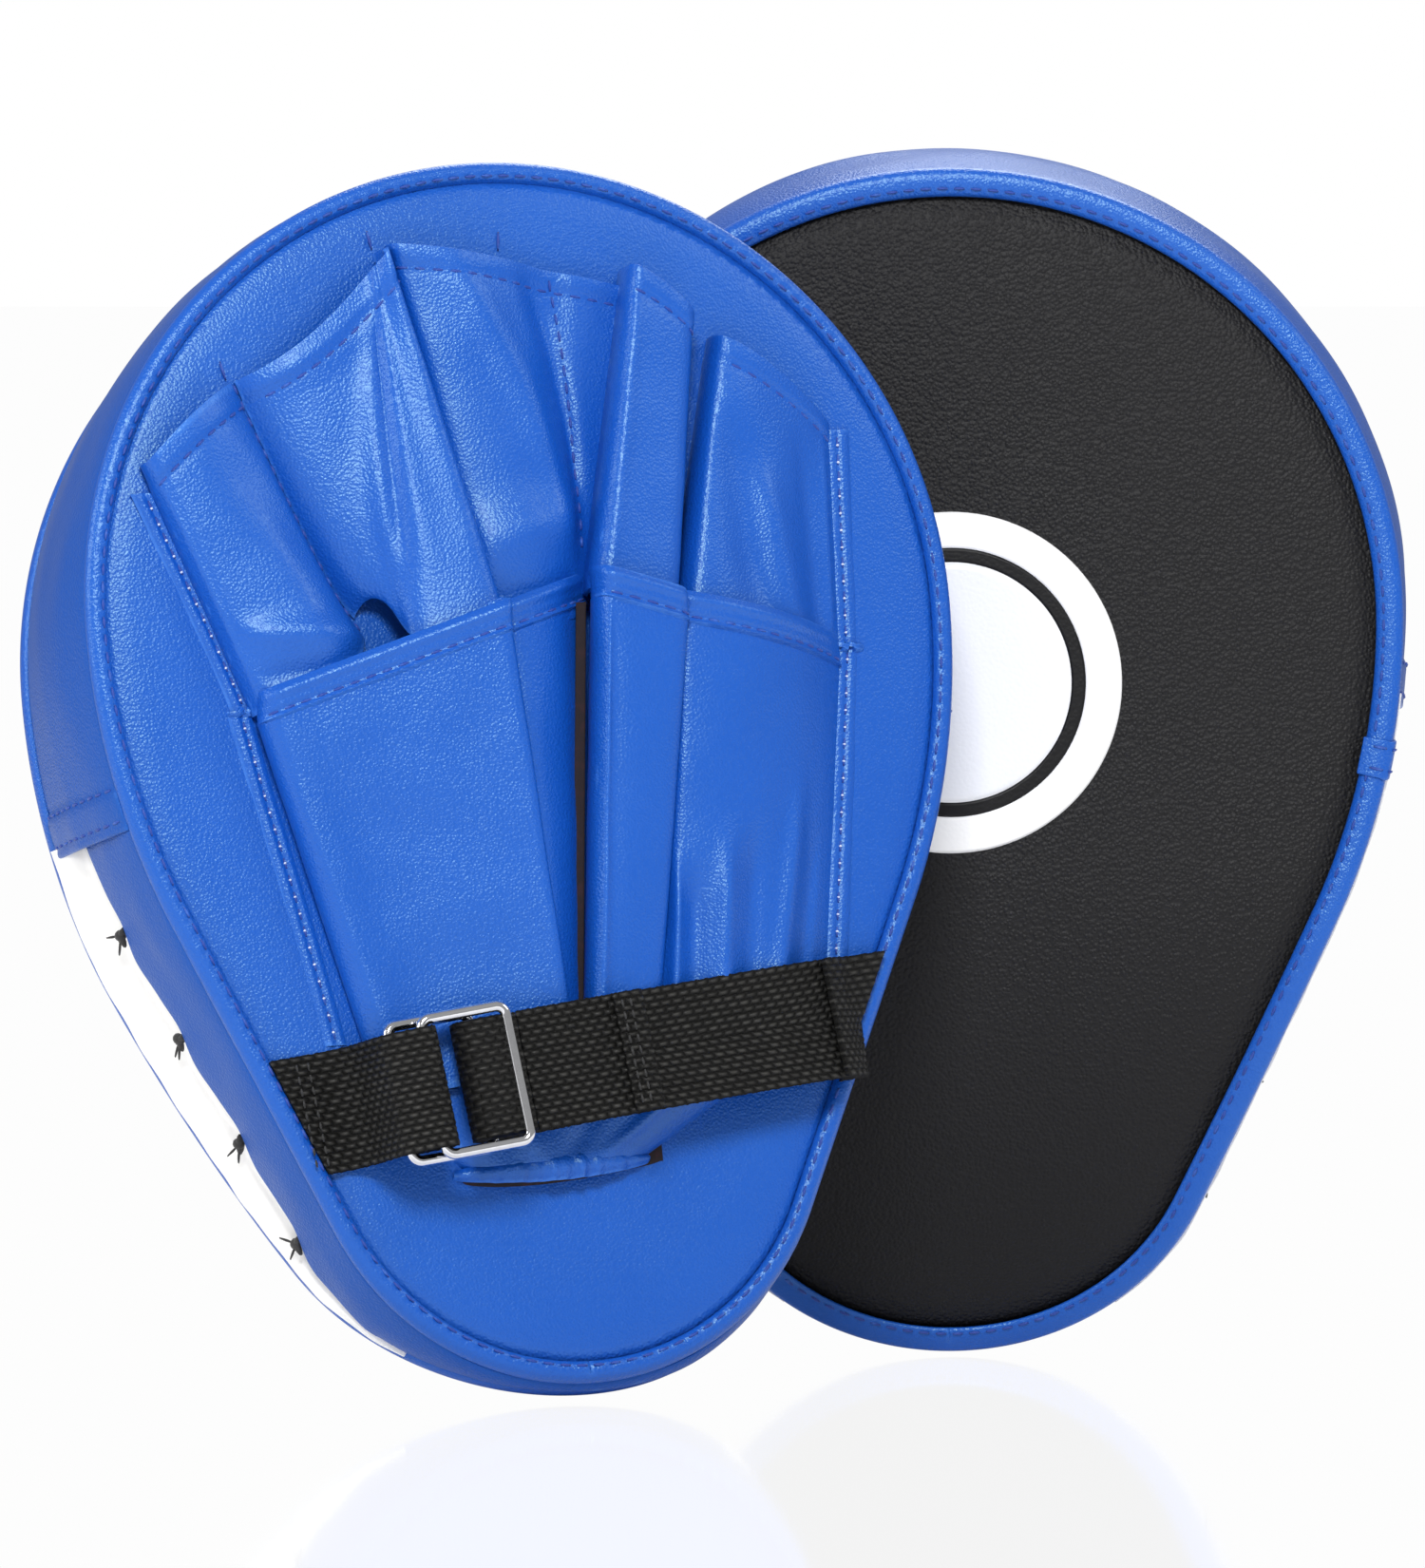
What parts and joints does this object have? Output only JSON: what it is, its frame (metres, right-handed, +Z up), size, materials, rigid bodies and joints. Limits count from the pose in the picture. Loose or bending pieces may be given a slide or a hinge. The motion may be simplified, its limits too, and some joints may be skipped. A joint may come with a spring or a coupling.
{
  "type": "focus mitt pair",
  "caption": "Pair of curved padded focus mitts with finger stalls and a cinched wrist strap on the back and a round target on the striking face.",
  "frame": {"origin": "palm rest of the right-hand mitt, on its back panel inside the hand pocket", "axes": "+Z up, +X to the right seen from the side that shows the right-hand mitt's back, +Y away from that side"},
  "size_m": [0.2832, 0.1911, 0.2499],
  "materials": {
    "blue_leather": "satin",
    "black_leather": "satin",
    "white_leather": "matte",
    "core_foam": "matte",
    "impact_foam": "matte",
    "target_white": "satin",
    "target_black": "satin",
    "black_cord": "matte",
    "black_webbing": "matte",
    "chromed_wire": "polished"
  },
  "bodies": {
    "right_mitt": {"right_back_panel": "blue_leather", "right_back_binding": "blue_leather", "right_foam_core": "core_foam", "right_impact_foam": "impact_foam", "right_striking_face": "black_leather", "right_edge_binding": "blue_leather", "right_upper_gusset": "blue_leather", "right_lower_side_wrap": "blue_leather", "right_lacing_strip": "white_leather", "right_lacing_ties": "black_cord", "right_target_patch": "target_white", "right_target_ring": "target_black", "right_thumb_stall": "blue_leather", "right_index_stall": "blue_leather", "right_middle_stall": "blue_leather", "right_ring_stall": "blue_leather", "right_little_stall": "blue_leather", "right_knuckle_band": "blue_leather", "right_thumb_cover": "blue_leather", "right_middle_cover": "blue_leather", "right_ring_cover": "blue_leather", "right_outer_cover": "blue_leather", "right_wrist_cover": "blue_leather", "right_wrist_hem": "blue_leather", "right_cover_side_welts": "blue_leather", "right_strap_anchor_loop": "black_webbing", "right_wrist_strap": "black_webbing"},
    "right_inner_ring": {"right_inner_ring": "chromed_wire"},
    "right_outer_ring": {"right_outer_ring": "chromed_wire"},
    "right_strap_tail": {"right_strap_tail": "black_webbing"},
    "left_mitt": {"left_back_panel": "blue_leather", "left_back_binding": "blue_leather", "left_foam_core": "core_foam", "left_impact_foam": "impact_foam", "left_striking_face": "black_leather", "left_edge_binding": "blue_leather", "left_upper_gusset": "blue_leather", "left_lower_side_wrap": "blue_leather", "left_lacing_strip": "white_leather", "left_lacing_ties": "black_cord", "left_target_patch": "target_white", "left_target_ring": "target_black", "left_thumb_stall": "blue_leather", "left_index_stall": "blue_leather", "left_middle_stall": "blue_leather", "left_ring_stall": "blue_leather", "left_little_stall": "blue_leather", "left_knuckle_band": "blue_leather", "left_thumb_cover": "blue_leather", "left_middle_cover": "blue_leather", "left_ring_cover": "blue_leather", "left_outer_cover": "blue_leather", "left_wrist_cover": "blue_leather", "left_wrist_hem": "blue_leather", "left_cover_side_welts": "blue_leather", "left_strap_anchor_loop": "black_webbing", "left_wrist_strap": "black_webbing"},
    "left_inner_ring": {"left_inner_ring": "chromed_wire"},
    "left_outer_ring": {"left_outer_ring": "chromed_wire"},
    "left_strap_tail": {"left_strap_tail": "black_webbing"}
  },
  "joints": [
    {"name": "right_inner_ring_play", "type": "hinge", "parent": "right_mitt", "child": "right_inner_ring", "pos_m": [-0.03316, -0.03814, -0.04939], "axis": [0.2041, -0.128, -0.9705], "range_deg": [-2, 2]},
    {"name": "right_outer_ring_swing", "type": "hinge", "parent": "right_mitt", "child": "right_outer_ring", "pos_m": [-0.02639, -0.03846, -0.04793], "axis": [0.2041, -0.128, -0.9705], "range_deg": [0, 60]},
    {"name": "right_strap_tail_lift", "type": "hinge", "parent": "right_mitt", "child": "right_strap_tail", "pos_m": [-0.00726, -0.0306, -0.04494], "axis": [0.2041, -0.128, -0.9705], "range_deg": [0, 70]},
    {"name": "left_inner_ring_play", "type": "hinge", "parent": "left_mitt", "child": "left_inner_ring", "pos_m": [0.03874, 0.1326, -0.05406], "axis": [-0.1253, 0.0865, 0.9883], "range_deg": [-2, 2]},
    {"name": "left_outer_ring_swing", "type": "hinge", "parent": "left_mitt", "child": "left_outer_ring", "pos_m": [0.04499, 0.13556, -0.05353], "axis": [-0.1253, 0.0865, 0.9883], "range_deg": [0, 60]},
    {"name": "left_strap_tail_lift", "type": "hinge", "parent": "left_mitt", "child": "left_strap_tail", "pos_m": [0.06572, 0.13568, -0.05091], "axis": [-0.1253, 0.0865, 0.9883], "range_deg": [0, 70]},
    {"name": "left_mitt_draw_back", "type": "slide", "parent": "right_mitt", "child": "left_mitt", "axis": [0, 1, 0], "range_m": [0, 0.3]}
  ]
}
